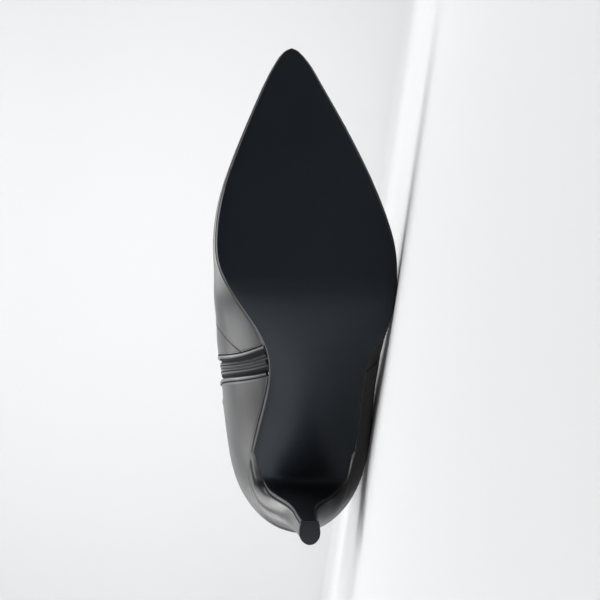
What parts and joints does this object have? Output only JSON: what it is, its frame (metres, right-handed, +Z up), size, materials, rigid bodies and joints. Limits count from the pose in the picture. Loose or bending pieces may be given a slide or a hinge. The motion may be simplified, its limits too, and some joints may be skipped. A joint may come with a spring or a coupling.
{
  "type": "tall boot",
  "caption": "Tall boot for a left foot with a pointed toe, a slim covered high heel, a thin sole that runs down the front of the heel, and a zip up the inner side.",
  "frame": {"origin": "middle of the box's underside, on the floor that the boot lies on", "axes": "+Y from the sole towards the collar, +X from the heel towards the toe, +Z up, out of the inner side of the leg. The boot lies on its outer side."},
  "size_m": [0.2456, 0.4822, 0.1174],
  "materials": {
    "black_leather": "smooth, semi-gloss",
    "black_sole": "satin",
    "heel_tip": "matte",
    "insole_lining": "matte",
    "zip_tape": "woven, matte",
    "zip_chain": "nylon coil",
    "dark_metal": "dark plated, satin"
  },
  "bodies": {
    "boot": {"upper": "black_leather", "outsole": "black_sole", "heel": "black_leather", "top_lift": "heel_tip", "insole": "insole_lining", "zip_tape": "zip_tape", "zip_chain": "zip_chain", "zip_slider": "dark_metal"},
    "pull": {"zip_pull": "dark_metal"}
  },
  "joints": [
    {"name": "pull_flip", "type": "hinge", "parent": "boot", "child": "pull", "pos_m": [-0.06963, 0.2182, 0.11453], "axis": [-0.9914, -0.003, -0.1311], "range_deg": [0, 160]}
  ]
}
